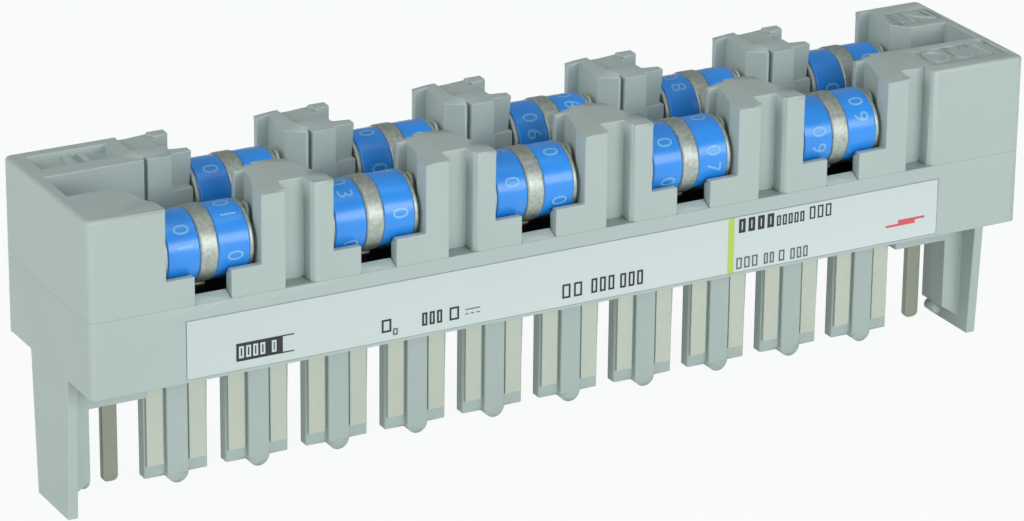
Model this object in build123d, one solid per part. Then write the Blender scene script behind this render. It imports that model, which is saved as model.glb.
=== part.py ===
"""Plug-in surge arrester magazine for a ten-pair disconnection strip.

Ten three-electrode gas discharge tubes lie in open bays, five along the front and five along
the back, the back row one pair pitch further right. A lower casing carries the plug-in comb of
ten contact tongues and two latch legs; an upper casing, the magazine, holds the tubes.
Sizes in millimetres. X runs along the magazine, Y from front to back, Z up. The origin is the
centre of the seating face, the underside of the plinth that lands on the strip.
"""
import os
from build123d import *

os.makedirs("parts", exist_ok=True)

# Casing
end_margin = 8.95
body_depth = 21.5
base_height = 8.35
magazine_height = 10.9
corner_radius = 0.8
edge_radius = 0.4
end_wall = 1.25

# Pairs and tubes
pair_count = 10
pair_pitch = 9.35
tube_setback = 4.6
tube_height = 4.85
tube_length = 10.0
ring_diameter = 8.0
ring_width = 2.05
ceramic_diameter = 7.7
ceramic_wall = 1.1
cap_diameter = 7.5
cap_thickness = 0.5
electrode_diameter = 3.2
electrode_gap = 0.9

# Bays of the magazine
ledge_height = 3.05
cradle_clearance = 0.15
bay_left = 5.15
bay_right = 5.4
front_cheek_depth = 2.05
left_cheek_depth = 2.9
scoop_depth = 1.4
scoop_bulge = 0.5
rear_lip = 0.75
pocket_reach = 1.85
corner_run = 2.4
corner_set = 0.8
corner_depth = 2.0
shoulder_run = 2.9
shoulder_drop = 0.4
window_width = 4.05
window_wall = 1.3
window_relief = 2.15
sill_depth = 1.25
sill_rise = 0.7

# Channel along the top, key grooves in the front and the towers' details
channel_width = 5.95
channel_floor = 3.95
groove_offset = 8.1
groove_width = 3.0
groove_depth = 2.05
groove_radius = 0.9
front_pad_depth = 0.55
pad_width = 2.8
pad_depth = 0.3
slot_width = 0.35
slot_depth = 0.8
recess_width = 3.6
recess_length = 4.5
recess_depth = 0.45
niche_width = 2.4
niche_depth = 0.9
niche_height = 3.9

# Pocket in the top of the left end, with two ribs
pocket_side_wall = 1.95
pocket_rear_wall = 1.55
pocket_length = 8.8
pocket_width = 3.9
pocket_slant = 0.55
pocket_depth = 1.0
pocket_ribs = (3.9, 5.6)
pocket_rib_width = 0.7
pocket_rib_height = 0.55

# Walls of the hollow lower casing and the lap joint between the casings
wall = 1.2
floor_thickness = 1.85
lap_height = 1.4
lap_wall = 0.45
fit_clearance = 0.05

# Plinth under the lower casing
plinth_height = 1.9
plinth_step = 0.9
plinth_inset = 4.25
plinth_pad_length = 7.5
web_drop = 2.95

# Label strip in the front of the lower casing
label_margin = 1.65
label_height = 6.3
label_bottom = 0.35
label_thickness = 0.25

# Comb of tongues
tongue_width = 7.25
tongue_thickness = 1.35
tongue_length = 12.7
rib_width = 2.4
rib_depth = 0.6
rib_overhang = 0.85

# Latch legs
leg_length = 14.0
leg_thickness = 1.15
leg_width = 9.6
leg_taper = 0.9
leg_rib_width = 4.2
leg_rib_depth = 2.25
leg_rib_end = 1.5
leg_rib_slope = 1.5
nose_radius = 0.65
nose_proud = 0.4
nose_width = 1.8

# Line contacts
contact_thickness = 0.3
strip_width = 1.9
strip_margin = 0.25
strip_end = 1.4
spring_width = 3.0
spring_bend = 1.4
spring_tip = 3.4
spring_lean = 0.45
bend_radius = 0.35

# Earth rail with its spring fingers, and the two earth pins at its ends
rail_thickness = 0.8
rail_height = 3.0
rail_gap = 1.3
rail_foot = 0.8
pin_width = 1.75
pin_length = 12.3
pin_inset = 6.35
pin_corner = 0.6
finger_width = 1.6
finger_thickness = 0.4
finger_drop = 1.2
finger_ramp = 1.2
finger_reach = 0.9

# Levels and planes that follow from the sizes above
comb_length = pair_count * pair_pitch
body_length = comb_length + 2 * end_margin
label_length = comb_length - 2 * label_margin
row_offset = body_depth / 2 - tube_setback
underside = plinth_height
parting = underside + base_height
top = parting + magazine_height
floor_top = underside + floor_thickness
ledge = parting + ledge_height
tube_z = parting + tube_height
ring_radius = ring_diameter / 2
front = -body_depth / 2
back = body_depth / 2
left_end = -body_length / 2
channel_half = channel_width / 2
tube_pitch = 2 * pair_pitch
pair_x = [(number - (pair_count - 1) / 2) * pair_pitch for number in range(pair_count)]
front_tubes = pair_x[0::2]
back_tubes = pair_x[1::2]
strip_x = tongue_width / 2 - strip_margin - strip_width / 2
strip_face = -tongue_thickness / 2
spring_x = tube_length / 2 + fit_clearance
pin_x = body_length / 2 - pin_inset
rib_face = left_end + leg_thickness + leg_rib_depth
rail_bottom = floor_top + rail_gap
rail_top = rail_bottom + rail_height
past = 2.0  # how far a cutter reaches beyond the face it cuts


def block(x0, x1, y0, y1, z0, z1):
    """A box between two corners."""
    return Pos((x0 + x1) / 2, (y0 + y1) / 2, (z0 + z1) / 2) * Box(x1 - x0, y1 - y0, z1 - z0)


def prism(sketch, z0, z1):
    """A plan drawn on XY, raised from z0 to z1."""
    return Pos(0, 0, z0) * extrude(sketch, amount=z1 - z0)


def outline(*edges):
    """The face that a closed chain of edges bounds."""
    return make_face(Curve() + list(edges))


def across(sketch, width):
    """A profile drawn in X and Z, as wide in Y as asked, centred."""
    return extrude(Plane.XZ * sketch, amount=width / 2, both=True)


def lengthwise(sketch, x0, x1):
    """A profile drawn in Y and Z, carried from x0 to x1."""
    return Pos((x0 + x1) / 2, 0, 0) * extrude(Plane.YZ * sketch, amount=(x1 - x0) / 2, both=True)


def row_side(number):
    """-1 for the front row (even pairs), 1 for the back row (odd pairs)."""
    return -1 if number % 2 == 0 else 1


def body_plan():
    """The casing's outline seen from above, with rounded corners."""
    return RectangleRounded(body_length, body_depth, corner_radius)


def front_bay():
    """Plan of a front bay about its tube: cheeks in front, scoops beside the tube's ends."""
    cheek = front + front_cheek_depth
    left_cheek = front + left_cheek_depth
    rear = -channel_half
    stop = rear - rear_lip
    left_step = bay_left + scoop_bulge
    left_rear = bay_left + scoop_depth + contact_thickness
    right_rear = bay_right + scoop_depth
    right_mid = (bay_right + scoop_depth - scoop_bulge, (cheek + stop) / 2)
    left_mid = (scoop_bulge - left_rear, (left_cheek + rear) / 2)
    return outline(
        Polyline((-bay_left, front - past), (bay_right, front - past), (bay_right, cheek)),
        ThreePointArc((bay_right, cheek), right_mid, (right_rear, stop)),
        Polyline((right_rear, stop), (bay_right + contact_thickness, stop),
                 (bay_right + contact_thickness, 0), (-left_rear, 0), (-left_rear, rear)),
        ThreePointArc((-left_rear, rear), left_mid, (-left_step, left_cheek)),
        Polyline((-left_step, left_cheek), (-bay_left, left_cheek), (-bay_left, front - past)),
    )


def back_bay():
    """Plan of a back bay about its tube: a scoop on the right, a pocket behind the left lip."""
    stop = back - rear_lip
    pillar = back - 2 * rear_lip
    lip = channel_half + 2 * rear_lip
    right_rear = bay_right + scoop_depth
    right_mid = (right_rear - scoop_bulge / 2, (channel_half + corner_depth + stop) / 2)
    left_deep = bay_left + pocket_reach
    corner = (bay_right + corner_set, channel_half + corner_depth)
    return outline(
        Polyline((-bay_left, 0), (bay_right, 0), (bay_right, channel_half),
                 (bay_right + corner_run, channel_half), corner),
        ThreePointArc(corner, right_mid, (right_rear, stop)),
        Polyline((right_rear, stop), (bay_right, stop), (bay_right, back + past),
                 (-bay_left, back + past), (-bay_left, pillar), (-left_deep, pillar - slot_width),
                 (-left_deep, lip + slot_width), (-bay_left, lip), (-bay_left, 0)),
    )


def groove_plan():
    """Plan of a key groove in the front face, its right mouth well rounded."""
    floor = front + groove_depth
    mouth = outline(
        Polyline((groove_width, floor), (0, floor), (0, front - past),
                 (groove_width + groove_radius, front - past), (groove_width + groove_radius, front)),
        RadiusArc((groove_width + groove_radius, front), (groove_width, front + groove_radius),
                  groove_radius),
        Line((groove_width, front + groove_radius), (groove_width, floor)),
    )
    return mouth


def niche_cut(x):
    """The leaning recess in a back tower's channel face, ending at the bay on its right."""
    cut = Polygon((channel_half - pad_depth, top + past), (channel_half + slot_width, top + past),
                  (channel_half + slot_width, top), (channel_half + niche_depth, top - niche_height),
                  (channel_half - pad_depth, top - niche_height), align=None)
    return lengthwise(cut, x - niche_width, x)


def shoulder_cut(x, y0, y1):
    """The shallow slope on a tower's left shoulder, beside the bay of the tube at x."""
    start = x + bay_right - slot_width
    end = x + bay_right + shoulder_run
    cut = Polygon((start, top - shoulder_drop), (end, top), (end, top + past), (start, top + past),
                  align=None)
    return Pos(0, (y0 + y1) / 2, 0) * across(cut, y1 - y0)


def end_pocket():
    """The slanted pocket in the top of the left end, less the two ribs that stand in it."""
    x = left_end + pocket_side_wall
    y = back - pocket_rear_wall
    plan = Polygon((x, y), (x, y - pocket_width), (x + pocket_length - pocket_slant, y - pocket_width),
                   (x + pocket_length, y), align=None)
    pocket = prism(plan, top - pocket_depth, top + past)
    for offset in pocket_ribs:
        rib = x + offset
        pocket -= block(rib, rib + pocket_rib_width, y - pocket_width, y,
                        top - pocket_depth, top - pocket_depth + pocket_rib_height)
    return pocket


def spigot():
    """The rim under the magazine that drops inside the lower casing's thinned wall."""
    outer = lap_wall + fit_clearance
    rim = Rectangle(body_length - 2 * outer, body_depth - 2 * outer)
    rim -= Rectangle(body_length - 2 * wall, body_depth - 2 * wall)
    ring = prism(rim, parting - lap_height + fit_clearance, parting)
    for x in front_tubes:
        gap = x + groove_offset
        ring -= block(gap, gap + groove_width, front, 0, underside, parting)
    return ring


def tube_openings(side):
    """What one tube needs cut about x = 0: its cradle, the window under it and two spring slots."""
    y = side * row_offset
    openings = Pos((bay_right - bay_left) / 2, y, tube_z) * Rot(0, 90, 0) * Cylinder(
        ring_radius + cradle_clearance, bay_left + bay_right)
    ends = sorted((side * (back + past), -side * rail_thickness))
    openings += block(-window_width / 2, window_width / 2, ends[0], ends[1],
                      parting - lap_height - past, ledge)
    ends = sorted((side * (back - window_wall), side * channel_half))
    openings += block(0, window_width / 2 + window_relief, ends[0], ends[1],
                      parting - lap_height - past, ledge)
    half = spring_width / 2 + fit_clearance
    for end in (-1, 1):
        faces = sorted((end * (spring_x - fit_clearance), end * (spring_x + 2 * contact_thickness)))
        openings += block(faces[0], faces[1], y - half, y + half, parting - past, ledge + past)
    return openings


def magazine():
    """Upper casing: two staggered rows of tube bays between towers, with a channel along the top."""
    casing = prism(body_plan(), parting, top)
    casing = fillet(casing.faces().sort_by(Axis.Z)[-1].edges(), edge_radius)
    casing -= block(left_end + end_wall, -left_end - end_wall, -channel_half, channel_half,
                    parting + channel_floor, top + past)
    for x in front_tubes:
        casing -= Pos(x, 0, 0) * prism(front_bay(), ledge, top + past)
    for x in back_tubes:
        casing -= Pos(x, 0, 0) * prism(back_bay(), ledge, top + past)
    for x in front_tubes:
        pad = x + groove_offset
        casing += block(pad, pad + pad_width, -channel_half, front_pad_depth - channel_half, ledge, top)
        casing -= shoulder_cut(x, front - past, -channel_half)
    for x in back_tubes[:-1]:
        pad = x + groove_offset + slot_width
        casing += block(pad, pad + pad_width, channel_half - pad_depth, channel_half, ledge, top)
        casing -= shoulder_cut(x, channel_half, back + past)
    for x in [back_tubes[0] - tube_pitch] + back_tubes[:-1]:
        tower = x + groove_offset
        casing -= block(tower, tower + recess_width, back - recess_length, back + past,
                        top - recess_depth, top + past)
        casing -= block(tower, tower + slot_width, channel_half - pad_depth,
                        channel_half + slot_depth, parting + channel_floor, top + past)
        casing -= niche_cut(x + tube_pitch - bay_left)
    for x in front_tubes:
        casing -= Pos(x + groove_offset, 0, 0) * prism(groove_plan(), parting, top + past)
    casing -= end_pocket()
    casing += spigot()
    for number, x in enumerate(pair_x):
        casing -= Pos(x, 0, 0) * tube_openings(row_side(number))
    return casing


def tongue():
    """One contact tongue about x = 0: a flat plate with a round-ended rib on both faces."""
    plate = block(-tongue_width / 2, tongue_width / 2, -tongue_thickness / 2, tongue_thickness / 2,
                  -tongue_length, underside)
    radius = rib_width / 2
    end = radius - tongue_length - rib_overhang
    profile = Polyline((-radius, end), (-radius, underside), (radius, underside), (radius, end))
    profile = outline(profile, RadiusArc((radius, end), (-radius, end), radius))
    return plate + across(profile, tongue_thickness + 2 * rib_depth)


def latch_leg():
    """The left leg: a tapered end plate with a broad inner rib that ends in a latch nose."""
    half = leg_width / 2
    plate = Polygon((-half, underside), (half, underside), (half - leg_taper, -leg_length),
                    (leg_taper - half, -leg_length), align=None)
    inner = left_end + leg_thickness
    leg = lengthwise(plate, left_end, inner)
    end = leg_rib_end - leg_length
    rib = Polygon((inner, underside), (rib_face, underside), (rib_face, end + leg_rib_slope),
                  (inner, end), align=None)
    leg += across(rib, leg_rib_width)
    nose_x = rib_face + nose_proud - nose_radius
    nose_z = end + leg_rib_slope - nose_radius
    leg += block(nose_x - nose_radius, rib_face, -nose_width / 2, nose_width / 2,
                 nose_z, nose_z + leg_rib_slope)
    leg += Pos(nose_x, 0, nose_z) * Rot(90, 0, 0) * Cylinder(nose_radius, nose_width)
    return leg


def sill(side):
    """The rising sill inside a window, on the lower casing's rim, about x = 0."""
    edge = side * back
    inner = side * (back - sill_depth)
    lap = side * (back - lap_wall)
    profile = Polygon((edge, parting), (inner, parting + sill_rise), (inner, parting - lap_height),
                      (lap, parting - lap_height), (lap, parting - fit_clearance),
                      (edge, parting - fit_clearance), align=None)
    half = window_width / 2 - fit_clearance
    return lengthwise(profile, -half, half)


def groove_shelf(x):
    """The step of the rim that closes a key groove at the parting, beside the front tube at x."""
    x0 = x + groove_offset + fit_clearance
    x1 = x + groove_offset + groove_width - fit_clearance
    return block(x0, x1, front + lap_wall / 2, front + groove_depth + lap_wall,
                 parting - lap_height, parting)


def lower_casing():
    """Lower casing: a tray with a label recess, on a plinth with tongues, end webs and two legs."""
    casing = prism(body_plan(), underside, parting)
    casing -= prism(Rectangle(body_length - 2 * wall, body_depth - 2 * wall), floor_top, parting)
    casing -= prism(Rectangle(body_length - 2 * lap_wall, body_depth - 2 * lap_wall),
                    parting - lap_height, parting)
    casing -= block(-label_length / 2 - fit_clearance, label_length / 2 + fit_clearance,
                    front - past, front + label_thickness,
                    underside + label_bottom - fit_clearance,
                    underside + label_bottom + label_height + fit_clearance)
    plinth_half = back - plinth_inset
    casing += block(rib_face, -rib_face, -plinth_half, plinth_half, plinth_step, underside)
    pad = block(rib_face, left_end + plinth_pad_length, -plinth_half, plinth_half, 0, underside)
    web = block(rib_face, pair_x[0] - tongue_width / 2, -leg_rib_width / 2, leg_rib_width / 2,
                -web_drop, underside)
    for piece in (pad, web, latch_leg()):
        casing += [piece, mirror(piece, about=Plane.YZ)]
    casing += [groove_shelf(x) for x in front_tubes]
    casing += [Pos(x, 0, 0) * tongue() for x in pair_x]
    casing += [Pos(x, 0, 0) * sill(row_side(number)) for number, x in enumerate(pair_x)]
    half = strip_width / 2 + fit_clearance
    for x in pair_x:
        for blade in (x - strip_x, x + strip_x):
            casing -= block(blade - half, blade + half, strip_face - contact_thickness - fit_clearance,
                            strip_face, 0, floor_top)
    half = pin_width / 2 + fit_clearance
    slot_half = rail_thickness / 2 + fit_clearance
    for x in (-pin_x, pin_x):
        casing -= block(x - half, x + half, -slot_half, slot_half, -web_drop, floor_top)
    return casing


def label():
    """The strip let into the lower casing's front, flush with it."""
    bottom = underside + label_bottom
    return block(-label_length / 2, label_length / 2, front, front + label_thickness,
                 bottom, bottom + label_height)


def line_contact(side, end):
    """A line contact about x = 0: strip on the tongue, bridge over the floor, spring at the tube."""
    y = side * row_offset
    half = spring_width / 2
    lead = floor_top + contact_thickness
    contact = block(strip_x - strip_width / 2, strip_x + strip_width / 2,
                    strip_face - contact_thickness, strip_face, strip_end - tongue_length, lead)
    ends = sorted((strip_face if side < 0 else strip_face - contact_thickness, y + side * half))
    contact += block(strip_x - strip_width / 2, strip_x + strip_width / 2, ends[0], ends[1],
                     floor_top, lead)
    middle = spring_x + contact_thickness / 2
    level = floor_top + contact_thickness / 2
    line = FilletPolyline((strip_x, level), (middle, level), (middle, tube_z + spring_bend),
                          (middle + spring_lean, tube_z + spring_tip), radius=bend_radius)
    spring = across(trace(line, contact_thickness), spring_width)
    window = Pos(0, (floor_top + tube_z + spring_tip - half) / 2) * Rectangle(
        spring_width, tube_z + spring_tip - half - floor_top)
    window += Pos(0, tube_z + spring_tip - half) * Circle(half)
    spring &= lengthwise(window, 0, 2 * spring_x)
    contact += Pos(0, y, 0) * spring
    return contact if end > 0 else mirror(contact, about=Plane.YZ)


def earth_pin():
    """An earth pin about x = 0: a flat blade with rounded corners, up to the top of the rail."""
    half = rail_thickness / 2
    pin = block(-pin_width / 2, pin_width / 2, -half, half, -pin_length, rail_top)
    return fillet(pin.faces().sort_by(Axis.Z)[0].edges().filter_by(Axis.Y), pin_corner)


def earth_rail():
    """One stamped strip: a rail on edge between the two pins and ten fingers up to the rings."""
    half = rail_thickness / 2
    end = pin_x - pin_width / 2
    rail = block(-end, end, -half, half, rail_bottom, rail_top)
    for foot in (-end, end - rail_foot):
        rail += block(foot, foot + rail_foot, -half, half, floor_top, rail_bottom)
    touch = tube_z - ring_radius - fit_clearance - finger_thickness / 2
    low = touch - finger_drop
    for number, x in enumerate(pair_x):
        side = row_side(number)
        line = FilletPolyline((0, rail_top - half), (0, low),
                              (side * (row_offset - 2 * finger_ramp), low),
                              (side * (row_offset - finger_ramp), touch),
                              (side * (row_offset + finger_reach), touch), radius=bend_radius)
        rail += lengthwise(trace(line, finger_thickness), x - finger_width / 2, x + finger_width / 2)
    return rail


def tube_axis(number):
    """Where a tube lies: its middle, with the tube's own Z turned along X."""
    return Pos(pair_x[number], row_side(number) * row_offset, tube_z) * Rot(0, 90, 0)


def ring_electrode():
    """The centre electrode, a metal ring brazed between the two insulators."""
    bore = ceramic_diameter / 2 - ceramic_wall
    return Cylinder(ring_radius, ring_width) - Cylinder(bore, ring_width)


def insulators():
    """Two ceramic sleeves, one on each side of the ring."""
    length = tube_length / 2 - ring_width / 2 - cap_thickness
    sleeve = Cylinder(ceramic_diameter / 2, length)
    sleeve -= Cylinder(ceramic_diameter / 2 - ceramic_wall, length)
    centre = (ring_width + length) / 2
    return Pos(0, 0, centre) * sleeve + Pos(0, 0, -centre) * sleeve


def end_electrodes():
    """Two end caps, each with the inner stem that faces the other across the gap."""
    cap = Pos(0, 0, (tube_length - cap_thickness) / 2) * Cylinder(cap_diameter / 2, cap_thickness)
    stem_length = tube_length / 2 - cap_thickness - electrode_gap / 2
    cap += Pos(0, 0, (electrode_gap + stem_length) / 2) * Cylinder(electrode_diameter / 2, stem_length)
    return cap + Rot(180, 0, 0) * cap


export_step(magazine(), "parts/magazine_housing.step")
export_step(lower_casing(), "parts/base_housing.step")
export_step(label(), "parts/label_strip.step")
export_step(earth_rail(), "parts/earth_rail.step")
export_step(Pos(-pin_x, 0, 0) * earth_pin(), "parts/earth_pin_left.step")
export_step(Pos(pin_x, 0, 0) * earth_pin(), "parts/earth_pin_right.step")
for number, x in enumerate(pair_x):
    name = f"{number + 1:02d}"
    place = tube_axis(number)
    export_step(place * ring_electrode(), f"parts/tube_{name}_ring.step")
    export_step(place * insulators(), f"parts/tube_{name}_ceramics.step")
    export_step(place * end_electrodes(), f"parts/tube_{name}_end_caps.step")
    for letter, end in (("a", -1), ("b", 1)):
        contact = Pos(x, 0, 0) * line_contact(row_side(number), end)
        export_step(contact, f"parts/line_contact_{name}_{letter}.step")
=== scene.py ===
from math import cos, pi, radians, sin

import bpy
from mathutils import Matrix, Vector


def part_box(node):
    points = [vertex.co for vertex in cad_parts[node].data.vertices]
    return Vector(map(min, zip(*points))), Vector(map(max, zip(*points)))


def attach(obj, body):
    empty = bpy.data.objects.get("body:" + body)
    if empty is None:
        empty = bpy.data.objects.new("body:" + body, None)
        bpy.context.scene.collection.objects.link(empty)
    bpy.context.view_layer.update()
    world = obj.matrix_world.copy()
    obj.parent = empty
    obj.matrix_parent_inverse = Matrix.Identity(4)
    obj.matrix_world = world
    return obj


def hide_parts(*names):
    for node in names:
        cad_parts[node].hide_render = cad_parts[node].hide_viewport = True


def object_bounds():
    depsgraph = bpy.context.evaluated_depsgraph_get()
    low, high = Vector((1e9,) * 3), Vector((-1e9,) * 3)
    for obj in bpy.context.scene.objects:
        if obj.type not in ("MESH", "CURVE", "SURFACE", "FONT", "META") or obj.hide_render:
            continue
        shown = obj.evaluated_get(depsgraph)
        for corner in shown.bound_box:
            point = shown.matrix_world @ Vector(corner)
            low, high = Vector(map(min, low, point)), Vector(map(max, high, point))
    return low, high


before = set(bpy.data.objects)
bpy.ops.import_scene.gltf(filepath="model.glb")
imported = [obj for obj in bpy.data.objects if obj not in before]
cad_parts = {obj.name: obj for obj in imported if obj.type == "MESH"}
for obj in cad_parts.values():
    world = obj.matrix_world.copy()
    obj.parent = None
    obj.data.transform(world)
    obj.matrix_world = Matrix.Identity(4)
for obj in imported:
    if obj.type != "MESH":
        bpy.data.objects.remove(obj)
cad_low, cad_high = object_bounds()
bpy.ops.object.select_all(action="DESELECT")
MM = 0.001

# The two casings. The magazine above and the lower casing with its comb are injection mouldings
# in light grey-green polycarbonate, snapped together at the parting line. The mould rounds every
# edge a little and leaves a fine satin grain.
CASING_EDGE = 0.12 * MM
SHORTEST_EDGE = 0.6 * MM
NARROWEST_FACE = 0.16 * MM
MERGE_DISTANCE = 0.002 * MM
NEARLY_FLAT = radians(0.5)
SHARP_ANGLE = radians(35)
SMOOTH_ANGLE = radians(40)
RIDGE_ANGLE = radians(5)
FACING_UP = 0.98
PARTING = 10.25 * MM
PARTING_REACH = 0.01 * MM
PARTING_WIDTH = 0.09 * MM
PARTING_DARKNESS = 0.22
GRAIN_DEPTH = 0.02 * MM
CASING_COLOUR = (177, 193, 190)


def from_screen(red, green, blue):
    """A colour picked on screen, 0 to 255, as the linear colour that a shader takes."""
    linear = []
    for value in (red, green, blue):
        share = value / 255
        linear.append(share / 12.92 if share <= 0.04045 else ((share + 0.055) / 1.055) ** 2.4)
    return (*linear, 1.0)


def new_group(name, inputs, outputs):
    """An empty node group with the named sockets, and its input and output nodes."""
    group = bpy.data.node_groups.new(name, "ShaderNodeTree")
    for label, kind, value in inputs:
        socket = group.interface.new_socket(name=label, in_out="INPUT", socket_type=kind)
        socket.default_value = value
    for label, kind in outputs:
        group.interface.new_socket(name=label, in_out="OUTPUT", socket_type=kind)
    return group, group.nodes.new("NodeGroupInput"), group.nodes.new("NodeGroupOutput")


def mould_skin_group():
    """Moulded plastic: a faint cloudiness in the colour, and the grain that the mould leaves.

    The scale of a noise is counted per metre, so 5200 is a grain of about 0.2 mm.
    """
    group, start, end = new_group(
        "mould_skin",
        [("Colour", "NodeSocketColor", (1, 1, 1, 1)), ("Cloud", "NodeSocketFloat", 0.04),
         ("Satin", "NodeSocketFloat", 0.42)],
        [("Colour", "NodeSocketColor"), ("Roughness", "NodeSocketFloat"),
         ("Grain", "NodeSocketFloat")])
    nodes, links = group.nodes, group.links
    place = nodes.new("ShaderNodeTexCoord")
    cloud = nodes.new("ShaderNodeTexNoise")
    cloud.inputs["Scale"].default_value = 160
    cloud.inputs["Detail"].default_value = 3
    grain = nodes.new("ShaderNodeTexNoise")
    grain.inputs["Scale"].default_value = 5200
    grain.inputs["Detail"].default_value = 2
    shade = nodes.new("ShaderNodeMapRange")
    shade.inputs["To Min"].default_value = 1.0
    darker = nodes.new("ShaderNodeMath")
    darker.operation = "SUBTRACT"
    darker.inputs[0].default_value = 1.0
    tint = nodes.new("ShaderNodeVectorMath")
    tint.operation = "SCALE"
    rough = nodes.new("ShaderNodeMath")
    rough.operation = "MULTIPLY_ADD"
    rough.inputs[1].default_value = 0.10
    links.new(place.outputs["Object"], cloud.inputs["Vector"])
    links.new(place.outputs["Object"], grain.inputs["Vector"])
    links.new(start.outputs["Cloud"], darker.inputs[1])
    links.new(cloud.outputs["Fac"], shade.inputs["Value"])
    links.new(darker.outputs[0], shade.inputs["To Max"])
    links.new(start.outputs["Colour"], tint.inputs[0])
    links.new(shade.outputs["Result"], tint.inputs["Scale"])
    links.new(cloud.outputs["Fac"], rough.inputs[0])
    links.new(start.outputs["Satin"], rough.inputs[2])
    links.new(tint.outputs["Vector"], end.inputs["Colour"])
    links.new(rough.outputs[0], end.inputs["Roughness"])
    links.new(grain.outputs["Fac"], end.inputs["Grain"])
    return group


MOULD_SKIN = mould_skin_group()


def plain_material(name):
    """A new material with one Principled shader, and that shader."""
    material = bpy.data.materials.new(name)
    material.use_nodes = True
    return material, material.node_tree.nodes["Principled BSDF"]


def bump_from(material, shader, height, distance, strength):
    """Turns a height into the shader's normal, through a Bump node."""
    bump = material.node_tree.nodes.new("ShaderNodeBump")
    bump.inputs["Strength"].default_value = strength
    bump.inputs["Distance"].default_value = distance
    material.node_tree.links.new(height, bump.inputs["Height"])
    material.node_tree.links.new(bump.outputs["Normal"], shader.inputs["Normal"])


def moulded_plastic(name, colour, cloud, satin, grain):
    """Satin moulded plastic in a screen colour."""
    material, shader = plain_material(name)
    links = material.node_tree.links
    skin = material.node_tree.nodes.new("ShaderNodeGroup")
    skin.node_tree = MOULD_SKIN
    skin.inputs["Colour"].default_value = from_screen(*colour)
    skin.inputs["Cloud"].default_value = cloud
    skin.inputs["Satin"].default_value = satin
    shader.inputs["Specular IOR Level"].default_value = 0.45
    links.new(skin.outputs["Colour"], shader.inputs["Base Color"])
    links.new(skin.outputs["Roughness"], shader.inputs["Roughness"])
    bump_from(material, shader, skin.outputs["Grain"], GRAIN_DEPTH, grain)
    return material


def only(piece):
    """Selects one piece alone and makes it the active one."""
    bpy.ops.object.select_all(action="DESELECT")
    piece.select_set(True)
    bpy.context.view_layer.objects.active = piece


def smooth_faces(piece, ridges):
    """Soft shading over rounded edges, with flat faces kept flat.

    With ridges, the shallow ridges on top of the piece are kept crisp as well.
    """
    only(piece)
    bpy.ops.object.shade_smooth_by_angle(angle=SMOOTH_ANGLE)
    facing = {}
    for face in piece.data.polygons:
        for key in face.edge_keys:
            facing.setdefault(key, []).append(face.normal)
    for rim in piece.data.edges:
        pair = facing[rim.key]
        if ridges and len(pair) == 2 and min(pair[0].z, pair[1].z) > FACING_UP:
            rim.use_edge_sharp = pair[0].angle(pair[1]) > RIDGE_ANGLE
    bpy.ops.object.modifier_add(type="WEIGHTED_NORMAL")
    piece.modifiers[-1].keep_sharp = True
    bpy.ops.object.modifier_apply(modifier=piece.modifiers[-1].name)


def finished_copy(node, edge, material, shortest=0.0, segments=2, seam=None):
    """A clean copy of a CAD node, merged and with rounded edges, that stands for the node.

    Where `shortest` is given, edges shorter than it and those of very narrow faces stay sharp, and
    so do the ridges on top. The edges of a seam at the given height stay sharp as well.
    """
    piece = bpy.data.objects.new("finished_" + node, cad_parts[node].data.copy())
    bpy.context.scene.collection.objects.link(piece)
    only(piece)
    bpy.ops.object.mode_set(mode="EDIT")
    bpy.ops.mesh.select_mode(type="EDGE")
    bpy.ops.mesh.select_all(action="SELECT")
    bpy.ops.mesh.remove_doubles(threshold=MERGE_DISTANCE)
    bpy.ops.mesh.beautify_fill(angle_limit=NEARLY_FLAT)
    bpy.ops.mesh.select_all(action="DESELECT")
    bpy.ops.mesh.edges_select_sharp(sharpness=SHARP_ANGLE)
    bpy.ops.object.mode_set(mode="OBJECT")
    corners = piece.data.vertices
    narrow = set()
    for face in piece.data.polygons:
        sides = [(corners[a].co - corners[b].co).length for a, b in face.edge_keys]
        if 2 * face.area < NARROWEST_FACE * max(sides):
            narrow.update(face.edge_keys)
    for rim in piece.data.edges:
        if shortest and tuple(sorted(rim.vertices)) in narrow:
            rim.select = False
        first, second = rim.vertices
        if (corners[first].co - corners[second].co).length < shortest:
            rim.select = False
        if seam is not None and all(abs(corners[end].co.z - seam) < PARTING_REACH
                                    for end in rim.vertices):
            rim.select = False
    bpy.ops.object.mode_set(mode="EDIT")
    bpy.ops.mesh.bevel(offset=edge, segments=segments, loop_slide=False)
    bpy.ops.mesh.select_all(action="SELECT")
    bpy.ops.mesh.beautify_fill(angle_limit=NEARLY_FLAT)
    bpy.ops.object.mode_set(mode="OBJECT")
    low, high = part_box(node)
    for corner in piece.data.vertices:
        for axis in range(3):
            corner.co[axis] = min(max(corner.co[axis], low[axis]), high[axis])
    smooth_faces(piece, ridges=shortest > 0)
    piece.data.materials.clear()
    piece.data.materials.append(material)
    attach(piece, "root")
    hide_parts(node)
    return piece


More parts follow.
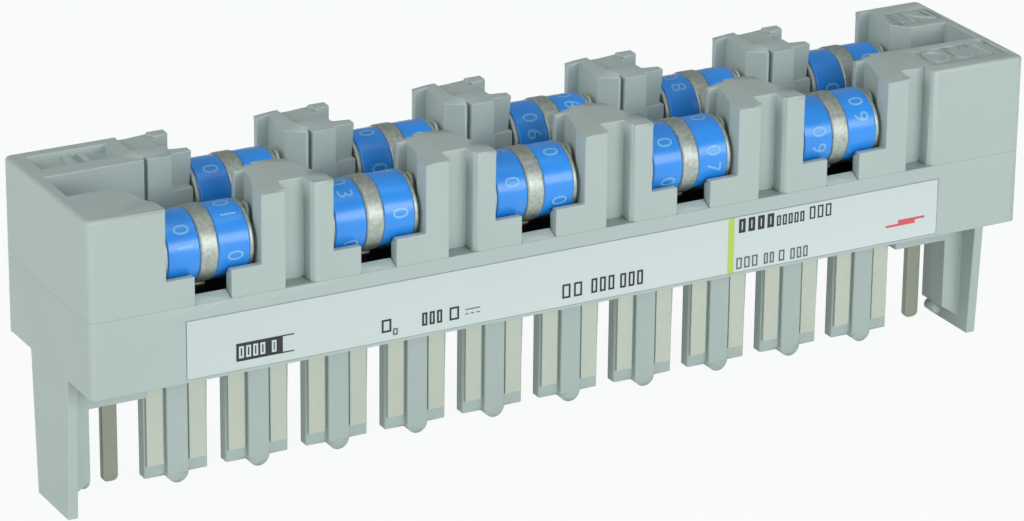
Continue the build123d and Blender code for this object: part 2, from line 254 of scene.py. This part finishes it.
def seam_line(material, height, width, darkness):
    """The fine dark line where two mouldings meet, at one height all round."""
    nodes, links = material.node_tree.nodes, material.node_tree.links
    shader = nodes["Principled BSDF"]
    place = nodes.new("ShaderNodeTexCoord")
    split = nodes.new("ShaderNodeSeparateXYZ")
    near = nodes.new("ShaderNodeMath")
    near.operation = "COMPARE"
    near.inputs[1].default_value = height
    near.inputs[2].default_value = width / 2
    strength = nodes.new("ShaderNodeMath")
    strength.operation = "MULTIPLY"
    strength.inputs[1].default_value = darkness
    line = nodes.new("ShaderNodeMix")
    line.data_type = "RGBA"
    line.blend_type = "MULTIPLY"
    first_colour, second_colour, mixed_colour = line.inputs[6], line.inputs[7], line.outputs[2]
    second_colour.default_value = (0, 0, 0, 1)
    plain = shader.inputs["Base Color"].links[0].from_socket
    links.new(place.outputs["Object"], split.inputs["Vector"])
    links.new(split.outputs["Z"], near.inputs[0])
    links.new(near.outputs[0], strength.inputs[0])
    links.new(strength.outputs[0], line.inputs["Factor"])
    links.new(plain, first_colour)
    links.new(mixed_colour, shader.inputs["Base Color"])


casing_plastic = moulded_plastic("casing_plastic", CASING_COLOUR, cloud=0.05, satin=0.40,
                                 grain=0.12)
seam_line(casing_plastic, PARTING, PARTING_WIDTH, PARTING_DARKNESS)
finished_copy("base_housing", CASING_EDGE, casing_plastic, shortest=SHORTEST_EDGE,
              seam=PARTING)
magazine = finished_copy("magazine_housing", CASING_EDGE, casing_plastic,
                         shortest=SHORTEST_EDGE, seam=PARTING)

# The two words on the right end's top. They are moulded in one with the magazine: each letter
# stands in a shallow sunk field and ends flush with the top round it.
WORD_DEPTH = 0.22 * MM
WORD_SIZE = 4 * MM
WORD_SPACING = 1.15
FIELD_MARGIN = 0.45


def cut(body, tool):
    """One solid cut from another, whose material the cut faces take. The tool is used up."""
    tool.data.materials.clear()
    for material in body.data.materials:
        tool.data.materials.append(material)
    only(body)
    bpy.ops.object.modifier_add(type="BOOLEAN")
    change = body.modifiers[-1]
    change.object = tool
    change.operation = "DIFFERENCE"
    change.solver = "MANIFOLD"
    bpy.ops.object.modifier_apply(modifier=change.name)
    bpy.data.objects.remove(tool)


def sunk_word(body, word, left, right, front, rear):
    """Letters left standing in a sunk field in the top of a casing; places in millimetres."""
    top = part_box("magazine_housing")[1].z
    middle = ((left + right) / 2 * MM, (front + rear) / 2 * MM, top)
    bpy.ops.mesh.primitive_cube_add(size=2 * MM, location=middle)
    field = bpy.context.object
    field.scale = ((right - left) / 2 + FIELD_MARGIN, (rear - front) / 2 + FIELD_MARGIN,
                   WORD_DEPTH / MM)
    bpy.ops.object.transform_apply(location=True, rotation=True, scale=True)
    bpy.ops.object.text_add(location=(0, 0, 0))
    letters = bpy.context.object
    letters.data.body = word
    letters.data.size = WORD_SIZE
    letters.data.extrude = 3 * WORD_DEPTH
    letters.data.space_character = WORD_SPACING
    bpy.ops.object.convert(target="MESH")
    letters = bpy.context.object
    corners = [vertex.co.copy() for vertex in letters.data.vertices]
    low = [min(corner[axis] for corner in corners) for axis in range(2)]
    high = [max(corner[axis] for corner in corners) for axis in range(2)]
    for vertex, corner in zip(letters.data.vertices, corners):
        along = (corner.x - low[0]) / (high[0] - low[0])
        across = (corner.y - low[1]) / (high[1] - low[1])
        vertex.co = ((left + (right - left) * along) * MM, (front + (rear - front) * across) * MM,
                     top + corner.z)
    only(letters)
    bpy.ops.object.mode_set(mode="EDIT")
    bpy.ops.mesh.select_all(action="SELECT")
    bpy.ops.mesh.remove_doubles(threshold=MERGE_DISTANCE)
    bpy.ops.object.mode_set(mode="OBJECT")
    cut(field, letters)
    cut(body, field)


sunk_word(magazine, "OUT", 45.7, 54.2, -8.15, -4.35)
sunk_word(magazine, "IN", 49.9, 54.5, 4.8, 7.7)
smooth_faces(magazine, ridges=True)

# The label strip. It is a thin printed plastic strip, glued into a shallow recess in the lower
# casing's front. Its print is made of plain fields and letter-sized frames, just above its face.
LABEL_COLOUR = (203, 216, 215)
LABEL_EDGE = 0.03 * MM
INK_HEIGHT = 0.02 * MM
FRAME_SHARE = 0.70
HEADING_STROKE = 0.34
WORD_STROKE = 0.22
FIELD_STROKE = 0.2
NARROW_STROKE = 0.18
LOWER_STROKE = 0.17
SMALL_STROKE = 0.16
label_plastic = moulded_plastic("label_plastic", LABEL_COLOUR, cloud=0.02, satin=0.34, grain=0.04)
label = finished_copy("label_strip", LABEL_EDGE, label_plastic, segments=1)
label_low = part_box("label_strip")[0]
for vertex in label.data.vertices:
    vertex.co.y = max(vertex.co.y, label_low.y + INK_HEIGHT)


def ink(name, colour):
    """Opaque printing ink, a little uneven where it lies."""
    return moulded_plastic(name, colour, cloud=0.08, satin=0.40, grain=0.02)


def print_fields(name, fields, material, sunk=0.0):
    """Flat printed fields on the label, each (left, right, bottom, top) in mm from its corner."""
    sheet = bpy.data.objects.new(name, bpy.data.meshes.new(name))
    bpy.context.scene.collection.objects.link(sheet)
    only(sheet)
    bpy.ops.object.mode_set(mode="EDIT")
    for left, right, bottom, top in fields:
        middle = (label_low.x + (left + right) / 2 * MM, label_low.y + sunk,
                  label_low.z + (bottom + top) / 2 * MM)
        bpy.ops.mesh.primitive_plane_add(size=MM, location=middle, rotation=(pi / 2, 0, 0))
        bpy.ops.transform.resize(value=(right - left, 1, top - bottom), center_override=middle)
    bpy.ops.object.mode_set(mode="OBJECT")
    sheet.data.materials.append(material)
    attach(sheet, "root")


def stroke_word(left, right, bottom, top, letters, stroke):
    """Fields for a row of upright frames, in the place and weight of a printed word, in mm."""
    fields = []
    pitch = (right - left) / letters
    for letter in range(letters):
        start = left + letter * pitch
        end = start + FRAME_SHARE * pitch
        fields.append((start, start + stroke, bottom, top))
        fields.append((end - stroke, end, bottom, top))
        fields.append((start + stroke, end - stroke, top - stroke, top))
        fields.append((start + stroke, end - stroke, bottom, bottom + stroke))
    return fields


dark_ink = ink("dark_ink", (40, 46, 48))
grey_ink = ink("grey_ink", (92, 100, 102))
green_ink = ink("green_ink", (184, 212, 92))
red_ink = ink("red_ink", (214, 92, 104))
print_fields("label_dark_field", [(5.45, 10.7, 0.92, 2.9), (10.7, 12.0, 2.76, 2.9),
                                  (10.7, 12.0, 0.92, 1.06)], dark_ink, sunk=INK_HEIGHT / 2)
print_fields("label_field_strokes", stroke_word(5.75, 8.95, 1.25, 2.55, 4, FIELD_STROKE)
             + stroke_word(9.45, 10.2, 1.25, 2.55, 1, FIELD_STROKE), label_plastic)
print_fields("label_first_words", stroke_word(22.0, 23.6, 0.95, 2.4, 1, WORD_STROKE)
             + stroke_word(26.7, 29.3, 0.88, 2.35, 3, WORD_STROKE)
             + stroke_word(29.9, 31.5, 0.88, 2.35, 1, WORD_STROKE), dark_ink)
print_fields("label_small_letter", stroke_word(23.3, 24.1, 0.5, 1.25, 1, SMALL_STROKE), grey_ink)
print_fields("label_current_sign", [(31.75, 33.5, 1.72, 1.84)]
             + [(31.75 + step, 32.13 + step, 1.22, 1.34) for step in (0, 0.66, 1.32)], grey_ink)
print_fields("label_middle_words", stroke_word(43.3, 46.1, 0.85, 2.45, 2, WORD_STROKE)
             + stroke_word(46.8, 49.9, 0.85, 2.5, 3, WORD_STROKE)
             + stroke_word(50.3, 53.4, 0.8, 2.45, 3, WORD_STROKE), dark_ink)
print_fields("label_green_bar", [(63.55, 64.28, 0, 6.3)], green_ink)
print_fields("label_heading", stroke_word(64.85, 69.6, 4.45, 6.05, 4, HEADING_STROKE), dark_ink)
print_fields("label_heading_end", stroke_word(69.6, 73.3, 4.45, 5.65, 5, NARROW_STROKE)
             + stroke_word(73.75, 76.8, 4.5, 5.95, 3, NARROW_STROKE), dark_ink)
print_fields("label_lower_words", stroke_word(64.65, 67.6, 0.33, 1.62, 3, LOWER_STROKE)
             + stroke_word(68.1, 69.6, 0.33, 1.58, 2, LOWER_STROKE)
             + stroke_word(70.0, 71.0, 0.33, 1.58, 1, LOWER_STROKE)
             + stroke_word(71.45, 73.9, 0.28, 1.55, 3, LOWER_STROKE), grey_ink)
print_fields("label_red_mark", [(83.6, 85.2, 1.72, 1.98), (85.2, 87.4, 1.72, 2.4),
                                (87.4, 88.6, 2.14, 2.4)], red_ink)

# The ten gas discharge tubes. Each has two lacquered ceramic sleeves, brazed between a centre
# ring and two end caps of tinned metal, and lies loose between its contact springs.
TUBE_EDGE = 0.12 * MM
RING_EDGE = 0.28 * MM
SCRATCH_DEPTH = 0.01 * MM


def metal_skin_group():
    """Tinned or plated sheet: soft blotches in the tone, and fine scratches for its height."""
    group, start, end = new_group(
        "metal_skin",
        [("Colour", "NodeSocketColor", (1, 1, 1, 1)), ("Blotch", "NodeSocketFloat", 0.2),
         ("Roughness", "NodeSocketFloat", 0.4)],
        [("Colour", "NodeSocketColor"), ("Roughness", "NodeSocketFloat"),
         ("Scratches", "NodeSocketFloat")])
    nodes, links = group.nodes, group.links
    place = nodes.new("ShaderNodeTexCoord")
    blotch = nodes.new("ShaderNodeTexNoise")
    blotch.inputs["Scale"].default_value = 2600
    blotch.inputs["Detail"].default_value = 4
    stretch = nodes.new("ShaderNodeMapping")
    stretch.inputs["Scale"].default_value = (6000, 6000, 500)
    scratch = nodes.new("ShaderNodeTexNoise")
    scratch.inputs["Scale"].default_value = 1
    scratch.inputs["Detail"].default_value = 3
    darker = nodes.new("ShaderNodeMath")
    darker.operation = "SUBTRACT"
    darker.inputs[0].default_value = 1.0
    shade = nodes.new("ShaderNodeMapRange")
    shade.inputs["From Min"].default_value = 0.35
    shade.inputs["From Max"].default_value = 0.62
    shade.inputs["To Max"].default_value = 1.0
    tint = nodes.new("ShaderNodeVectorMath")
    tint.operation = "SCALE"
    rough = nodes.new("ShaderNodeMath")
    rough.operation = "MULTIPLY_ADD"
    rough.inputs[1].default_value = 0.18
    links.new(place.outputs["Object"], blotch.inputs["Vector"])
    links.new(place.outputs["Object"], stretch.inputs["Vector"])
    links.new(stretch.outputs["Vector"], scratch.inputs["Vector"])
    links.new(start.outputs["Blotch"], darker.inputs[1])
    links.new(darker.outputs[0], shade.inputs["To Min"])
    links.new(blotch.outputs["Fac"], shade.inputs["Value"])
    links.new(start.outputs["Colour"], tint.inputs[0])
    links.new(shade.outputs["Result"], tint.inputs["Scale"])
    links.new(blotch.outputs["Fac"], rough.inputs[0])
    links.new(start.outputs["Roughness"], rough.inputs[2])
    links.new(tint.outputs["Vector"], end.inputs["Colour"])
    links.new(rough.outputs[0], end.inputs["Roughness"])
    links.new(scratch.outputs["Fac"], end.inputs["Scratches"])
    return group


METAL_SKIN = metal_skin_group()


def sheet_metal(name, colour, blotch, roughness, metallic, scratches):
    """Plated or tinned metal in a screen colour."""
    material, shader = plain_material(name)
    links = material.node_tree.links
    skin = material.node_tree.nodes.new("ShaderNodeGroup")
    skin.node_tree = METAL_SKIN
    skin.inputs["Colour"].default_value = from_screen(*colour)
    skin.inputs["Blotch"].default_value = blotch
    skin.inputs["Roughness"].default_value = roughness
    shader.inputs["Metallic"].default_value = metallic
    links.new(skin.outputs["Colour"], shader.inputs["Base Color"])
    links.new(skin.outputs["Roughness"], shader.inputs["Roughness"])
    bump_from(material, shader, skin.outputs["Scratches"], SCRATCH_DEPTH, scratches)
    return material


def tube_lacquer():
    """Glossy blue lacquer over ceramic, a little thinner and paler in places."""
    material = moulded_plastic("tube_lacquer", (38, 148, 246), cloud=0.10, satin=0.26, grain=0.02)
    shader = material.node_tree.nodes["Principled BSDF"]
    shader.inputs["Coat Weight"].default_value = 0.5
    shader.inputs["Coat Roughness"].default_value = 0.20
    return material


lacquer = tube_lacquer()
tinned_metal = sheet_metal("tinned_metal", (188, 198, 190), blotch=0.24, roughness=0.40,
                           metallic=0.85, scratches=0.30)
for number in range(1, 11):
    finished_copy(f"tube_{number:02d}_ceramics", TUBE_EDGE, lacquer)
    finished_copy(f"tube_{number:02d}_ring", RING_EDGE, tinned_metal, segments=3)
    finished_copy(f"tube_{number:02d}_end_caps", TUBE_EDGE, tinned_metal)

# The print on the tubes. Plain numbers in pale ink are rolled on around both sleeves of each
# tube, and every tube lies turned its own way in its bay.
PRINT_SIZE = 2.5 * MM
PRINT_SPACING = 1.5
PRINT_LIFT = 0.015 * MM
PRINT_STEP = 0.35 * MM
STEPS_EACH_WAY = 40
SLEEVE_MIDDLE = 2.76 * MM
TURN_PER_TUBE = 1.9
TURN_PER_SLEEVE = 0.35
pale_ink = moulded_plastic("pale_ink", (126, 194, 240), cloud=0.12, satin=0.30, grain=0.02)


def rolled_number(name, words, centre, radius, turn):
    """Flat text made a mesh, cut into narrow strips and rolled around a tube's sleeve."""
    bpy.ops.object.text_add(location=(0, 0, 0))
    number_print = bpy.context.object
    number_print.name = name
    number_print.data.body = words
    number_print.data.size = PRINT_SIZE
    number_print.data.space_character = PRINT_SPACING
    number_print.data.align_x = "CENTER"
    number_print.data.align_y = "CENTER"
    bpy.ops.object.convert(target="MESH")
    number_print = bpy.context.object
    bpy.ops.object.mode_set(mode="EDIT")
    for strip in range(-STEPS_EACH_WAY, STEPS_EACH_WAY + 1):
        bpy.ops.mesh.select_all(action="SELECT")
        bpy.ops.mesh.bisect(plane_co=(strip * PRINT_STEP, 0, 0), plane_no=(1, 0, 0))
    bpy.ops.object.mode_set(mode="OBJECT")
    for vertex in number_print.data.vertices:
        angle = turn - vertex.co.x / radius
        vertex.co = (centre.x + vertex.co.y, centre.y - radius * cos(angle),
                     centre.z + radius * sin(angle))
    number_print.data.materials.append(pale_ink)
    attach(number_print, "root")


for number in range(1, 11):
    low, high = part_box(f"tube_{number:02d}_ceramics")
    middle = (Vector(low) + Vector(high)) / 2
    sleeve_radius = (high.z - low.z) / 2 + PRINT_LIFT
    for side in (-1, 1):
        rolled_number(f"tube_{number:02d}_print_{'left' if side < 0 else 'right'}",
                      f"{number:02d}   0  {number:02d}  0",
                      middle + Vector((side * SLEEVE_MIDDLE, 0, 0)), sleeve_radius,
                      number * TURN_PER_TUBE + side * TURN_PER_SLEEVE)

# The contacts. Twenty stamped and silver-plated strips lie on the comb's tongues, and the earth
# rail with its two pins is tinned. All are pressed from sheet, with small burr-free edges.
CONTACT_EDGE = 0.05 * MM
EARTH_EDGE = 0.12 * MM
silver_plate = sheet_metal("silver_plate", (196, 205, 192), blotch=0.04, roughness=0.42,
                           metallic=0.40, scratches=0.15)
dull_tin = sheet_metal("dull_tin", (150, 156, 142), blotch=0.08, roughness=0.38,
                       metallic=0.75, scratches=0.20)
for number in range(1, 11):
    for letter in "ab":
        finished_copy(f"line_contact_{number:02d}_{letter}", CONTACT_EDGE, silver_plate)
for node in ("earth_rail", "earth_pin_left", "earth_pin_right"):
    finished_copy(node, EARTH_EDGE, dull_tin)

# The studio: a plain pale floor that runs back out of sight, soft light from the front, the left
# and above, and a long lens that looks down at the front from the left.
FLOOR_COLOUR = (251, 253, 252)
FLOOR_SIZE = 6.0
FLOOR_GLOW = 0.96
AIR_COLOUR = (250, 252, 252)
AIR_STRENGTH = 0.31
bpy.ops.mesh.primitive_plane_add(size=FLOOR_SIZE, location=(0, 0, cad_low.z))
floor = bpy.context.object
floor.name = "floor"
floor_paint, floor_shader = plain_material("floor_paint")
floor_shader.inputs["Base Color"].default_value = from_screen(*FLOOR_COLOUR)
floor_shader.inputs["Roughness"].default_value = 0.9
floor.data.materials.append(floor_paint)
floor_nodes = floor_paint.node_tree.nodes
floor_links = floor_paint.node_tree.links
glow = floor_nodes.new("ShaderNodeEmission")
glow.inputs["Color"].default_value = from_screen(*FLOOR_COLOUR)
seen = floor_nodes.new("ShaderNodeLightPath")
either = floor_nodes.new("ShaderNodeMath")
either.operation = "MAXIMUM"
weaker = floor_nodes.new("ShaderNodeMath")
weaker.operation = "MULTIPLY"
weaker.inputs[1].default_value = FLOOR_GLOW
mix = floor_nodes.new("ShaderNodeMixShader")
floor_links.new(seen.outputs["Is Camera Ray"], either.inputs[0])
floor_links.new(seen.outputs["Is Glossy Ray"], either.inputs[1])
floor_links.new(either.outputs[0], weaker.inputs[0])
floor_links.new(weaker.outputs[0], mix.inputs["Fac"])
floor_links.new(floor_shader.outputs["BSDF"], mix.inputs[1])
floor_links.new(glow.outputs["Emission"], mix.inputs[2])
floor_links.new(mix.outputs["Shader"], floor_nodes["Material Output"].inputs["Surface"])

world = bpy.data.worlds.new("studio")
bpy.context.scene.world = world
world.use_nodes = True
air = world.node_tree.nodes["Background"]
air.inputs["Color"].default_value = from_screen(*AIR_COLOUR)
air.inputs["Strength"].default_value = AIR_STRENGTH


def soft_light(name, place, width, height, power):
    """A large rectangular lamp that looks at the object."""
    lamp = bpy.data.lights.new(name, "AREA")
    lamp.shape = "RECTANGLE"
    lamp.size = width
    lamp.size_y = height
    lamp.energy = power
    holder = bpy.data.objects.new(name, lamp)
    bpy.context.scene.collection.objects.link(holder)
    holder.location = place
    look = -Vector(place)
    holder.rotation_euler = look.to_track_quat("-Z", "Y").to_euler()


soft_light("front_light", (0.20, -0.92, 0.28), width=0.9, height=0.42, power=5.25)
soft_light("left_light", (-0.85, -0.14, 0.38), width=0.60, height=0.50, power=3.4)
soft_light("top_light", (0.10, -0.20, 0.85), width=0.5, height=0.5, power=0.8)

VIEW_AZIMUTH = radians(-28.646)
VIEW_ELEVATION = radians(21.704)
VIEW_ROLL = radians(0.639)
VIEW_DISTANCE = 490.9 * MM
VIEW_AIM = Vector((0, 0, 11.52 * MM))
VIEW_RIGHT = -1.849 * MM
VIEW_UP = -7.616 * MM
PHOTO_WIDTH = 1024
FOCAL_PIXELS = 4602.6
SENSOR_WIDTH = 36
back = Vector((sin(VIEW_AZIMUTH) * cos(VIEW_ELEVATION), -cos(VIEW_AZIMUTH) * cos(VIEW_ELEVATION),
               sin(VIEW_ELEVATION)))
right = Vector((cos(VIEW_AZIMUTH), sin(VIEW_AZIMUTH), 0))
up = right.cross(-back)
rolled_right = cos(VIEW_ROLL) * right + sin(VIEW_ROLL) * up
rolled_up = cos(VIEW_ROLL) * up - sin(VIEW_ROLL) * right
lens = bpy.data.cameras.new("camera")
lens.sensor_width = SENSOR_WIDTH
lens.lens = FOCAL_PIXELS / PHOTO_WIDTH * lens.sensor_width
camera = bpy.data.objects.new("camera", lens)
bpy.context.scene.collection.objects.link(camera)
turn = Matrix((rolled_right, rolled_up, back)).transposed().to_4x4()
place = VIEW_AIM + back * VIEW_DISTANCE + rolled_right * VIEW_RIGHT + rolled_up * VIEW_UP
camera.matrix_world = Matrix.Translation(place) @ turn
bpy.context.scene.camera = camera
bpy.context.scene.view_settings.view_transform = "Standard"
